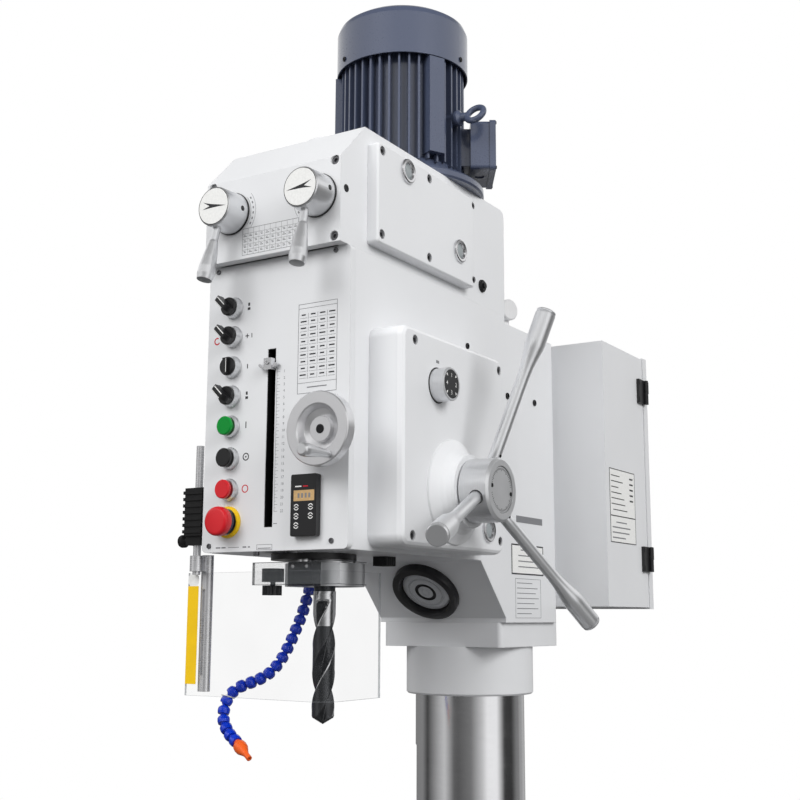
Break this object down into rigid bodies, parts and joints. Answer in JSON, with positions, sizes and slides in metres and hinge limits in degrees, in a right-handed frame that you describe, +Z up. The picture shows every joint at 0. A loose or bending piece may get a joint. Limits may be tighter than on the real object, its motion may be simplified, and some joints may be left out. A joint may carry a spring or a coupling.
{
  "type": "pillar drill",
  "caption": "Floor-standing gear-head pillar drill with motor on top, feed spokes, control panel, guard, jointed coolant hose, electric cabinet and lifting table.",
  "frame": {"origin": "on the column's axis at floor level", "axes": "+Z up along the column, front of the machine towards -Y, feed spokes on the +X side"},
  "size_m": [0.7077, 1.103, 2.4],
  "materials": {
    "cast_white": "smooth white enamel",
    "polished_steel": "polished",
    "bare_steel": "ground",
    "satin_alloy": "satin",
    "dark_steel": "black oxide",
    "motor_enamel": "slate blue enamel",
    "black_plastic": "black",
    "green_plastic": "green",
    "red_plastic": "red",
    "clear_sheet": "clear polycarbonate",
    "blue_plastic": "blue",
    "orange_plastic": "orange"
  },
  "bodies": {
    "machine": {"base": "cast_white", "column_foot": "cast_white", "foot_bolts": "dark_steel", "column": "polished_steel", "column_rack": "polished_steel", "column_clamp": "cast_white", "head_casting": "cast_white", "front_panel": "cast_white", "gearbox_housing": "cast_white", "gearbox_cover": "cast_white", "cap_screws": "dark_steel", "sight_glasses": "polished_steel", "filler_cap": "bare_steel", "feed_box": "cast_white", "work_lamp": "bare_steel", "motor_frame": "motor_enamel", "fan_cowl": "motor_enamel", "terminal_box": "motor_enamel", "eye_bolt": "motor_enamel", "cabinet_box": "cast_white", "cabinet_hinges": "black_plastic", "electrics": "black_plastic", "readout_box": "black_plastic", "switch_bezels": "satin_alloy", "rod_clamp": "black_plastic"},
    "motor_rotor": {"motor_rotor": "bare_steel"},
    "gear_cluster": {"gear_cluster": "bare_steel"},
    "drive_sleeve": {"drive_sleeve": "bare_steel"},
    "quill": {"quill": "bare_steel", "depth_rod": "bare_steel"},
    "spindle": {"spindle": "bare_steel", "drill_bit": "dark_steel"},
    "feed_hub": {"feed_hub": "satin_alloy", "feed_handles": "satin_alloy", "feed_pinion": "bare_steel"},
    "feed_dial": {"feed_dial": "satin_alloy"},
    "handwheel": {"handwheel": "satin_alloy"},
    "handwheel_grip": {"handwheel_grip": "black_plastic"},
    "speed_lever_left": {"speed_lever_left": "satin_alloy"},
    "speed_lever_right": {"speed_lever_right": "satin_alloy"},
    "selector_1": {"selector_1": "black_plastic"},
    "selector_2": {"selector_2": "black_plastic"},
    "selector_3": {"selector_3": "black_plastic"},
    "selector_4": {"selector_4": "black_plastic"},
    "green_button": {"green_button": "green_plastic"},
    "black_button": {"black_button": "black_plastic"},
    "red_button": {"red_button": "red_plastic"},
    "emergency_stop": {"emergency_stop": "red_plastic"},
    "cabinet_door": {"cabinet_door": "cast_white"},
    "door_lock": {"door_lock": "bare_steel"},
    "guard_rod": {"guard_rod": "polished_steel"},
    "guard": {"guard_rail": "polished_steel", "guard_sheet": "clear_sheet"},
    "guard_knob": {"guard_knob": "black_plastic"},
    "coolant_hose": {"coolant_hose": "blue_plastic", "hose_nozzle": "orange_plastic"},
    "table_arm": {"table_arm": "cast_white", "table": "bare_steel"},
    "lift_crank": {"lift_crank": "bare_steel"},
    "table_clamp_lever": {"table_clamp_lever": "bare_steel"}
  },
  "joints": [
    {"name": "motor_spin", "type": "hinge", "parent": "machine", "child": "motor_rotor", "pos_m": [0, -0.245, 2.071], "axis": [0, 0, 1], "continuous": true},
    {"name": "cluster_spin", "type": "hinge", "parent": "machine", "child": "gear_cluster", "pos_m": [0, -0.361, 1.96], "axis": [0, 0, 1], "continuous": true},
    {"name": "sleeve_spin", "type": "hinge", "parent": "machine", "child": "drive_sleeve", "pos_m": [0, -0.467, 1.9], "axis": [0, 0, 1], "continuous": true},
    {"name": "quill_feed", "type": "slide", "parent": "machine", "child": "quill", "axis": [0, 0, -1], "range_m": [0, 0.24], "stiffness_N_per_m": 420, "springref_m": -0.9},
    {"name": "spindle_spin", "type": "hinge", "parent": "quill", "child": "spindle", "pos_m": [0, -0.467, 1.4], "axis": [0, 0, 1], "continuous": true},
    {"name": "feed_hub_turn", "type": "hinge", "parent": "machine", "child": "feed_hub", "pos_m": [0.249, -0.3945, 1.519], "axis": [1, 0, 0], "range_deg": [-20, 480]},
    {"name": "feed_dial_turn", "type": "hinge", "parent": "machine", "child": "feed_dial", "pos_m": [0.203, -0.444, 1.679], "axis": [1, 0, 0], "range_deg": [-135, 135]},
    {"name": "handwheel_turn", "type": "hinge", "parent": "machine", "child": "handwheel", "pos_m": [0.109, -0.64, 1.5925], "axis": [0, 1, 0], "continuous": true},
    {"name": "handwheel_grip_turn", "type": "hinge", "parent": "handwheel", "child": "handwheel_grip", "pos_m": [0.131, -0.64, 1.5535], "axis": [0, 1, 0], "continuous": true},
    {"name": "speed_lever_left_turn", "type": "hinge", "parent": "machine", "child": "speed_lever_left", "pos_m": [-0.076, -0.64, 1.948], "axis": [0, 1, 0], "range_deg": [-45, 45]},
    {"name": "speed_lever_right_turn", "type": "hinge", "parent": "machine", "child": "speed_lever_right", "pos_m": [0.0885, -0.64, 1.948], "axis": [0, 1, 0], "range_deg": [-45, 45]},
    {"name": "selector_1_turn", "type": "hinge", "parent": "machine", "child": "selector_1", "pos_m": [-0.084, -0.61, 1.802], "axis": [0, 1, 0], "range_deg": [-90, 0]},
    {"name": "selector_2_turn", "type": "hinge", "parent": "machine", "child": "selector_2", "pos_m": [-0.084, -0.61, 1.756], "axis": [0, 1, 0], "range_deg": [-90, 0]},
    {"name": "selector_3_turn", "type": "hinge", "parent": "machine", "child": "selector_3", "pos_m": [-0.084, -0.61, 1.708], "axis": [0, 1, 0], "range_deg": [-45, 45]},
    {"name": "selector_4_turn", "type": "hinge", "parent": "machine", "child": "selector_4", "pos_m": [-0.084, -0.61, 1.662], "axis": [0, 1, 0], "range_deg": [-90, 0]},
    {"name": "green_button_press", "type": "slide", "parent": "machine", "child": "green_button", "axis": [0, 1, 0], "range_m": [0, 0.004], "stiffness_N_per_m": 800, "springref_m": -0.001},
    {"name": "black_button_press", "type": "slide", "parent": "machine", "child": "black_button", "axis": [0, 1, 0], "range_m": [0, 0.004], "stiffness_N_per_m": 800, "springref_m": -0.001},
    {"name": "red_button_press", "type": "slide", "parent": "machine", "child": "red_button", "axis": [0, 1, 0], "range_m": [0, 0.004], "stiffness_N_per_m": 800, "springref_m": -0.001},
    {"name": "emergency_stop_press", "type": "slide", "parent": "machine", "child": "emergency_stop", "axis": [0, 1, 0], "range_m": [0, 0.005]},
    {"name": "cabinet_door_swing", "type": "hinge", "parent": "machine", "child": "cabinet_door", "pos_m": [0.2295, 0.3515, 1.606], "axis": [0, 0, 1], "range_deg": [-110, 0]},
    {"name": "door_lock_turn", "type": "hinge", "parent": "cabinet_door", "child": "door_lock", "pos_m": [-0.19, 0.372, 1.606], "axis": [0, 1, 0], "range_deg": [0, 90]},
    {"name": "guard_height", "type": "slide", "parent": "machine", "child": "guard_rod", "axis": [0, 0, -1], "range_m": [0, 0.06]},
    {"name": "guard_swing", "type": "hinge", "parent": "guard_rod", "child": "guard", "pos_m": [-0.157, -0.588, 1.4], "axis": [0, 0, 1], "range_deg": [-100, 0]},
    {"name": "guard_knob_turn", "type": "hinge", "parent": "guard", "child": "guard_knob", "pos_m": [-0.049, -0.535, 1.37], "axis": [0, 0, 1], "continuous": true},
    {"name": "hose_swing", "type": "hinge", "parent": "machine", "child": "coolant_hose", "pos_m": [-0.072, -0.405, 1.384], "axis": [0, 0, 1], "range_deg": [-40, 8]},
    {"name": "table_lift", "type": "slide", "parent": "machine", "child": "table_arm", "axis": [0, 0, 1], "range_m": [-0.28, 0.15]},
    {"name": "lift_crank_turn", "type": "hinge", "parent": "table_arm", "child": "lift_crank", "pos_m": [-0.10436, -0.06025, 0.63616], "axis": [-0.5, 0.866, 0], "range_deg": [-700, 400]},
    {"name": "table_clamp_turn", "type": "hinge", "parent": "table_arm", "child": "table_clamp_lever", "pos_m": [0, 0.165, 0.625], "axis": [1, 0, 0], "range_deg": [-40, 0]}
  ],
  "couplings": [
    {"joint": "cluster_spin", "follows": "motor_spin", "ratio": -0.45},
    {"joint": "sleeve_spin", "follows": "motor_spin", "ratio": 0.19459},
    {"joint": "spindle_spin", "follows": "motor_spin", "ratio": 0.19459},
    {"joint": "feed_hub_turn", "follows": "quill_feed", "rad_per_m": 33.333},
    {"joint": "lift_crank_turn", "follows": "table_lift", "rad_per_m": 40}
  ]
}
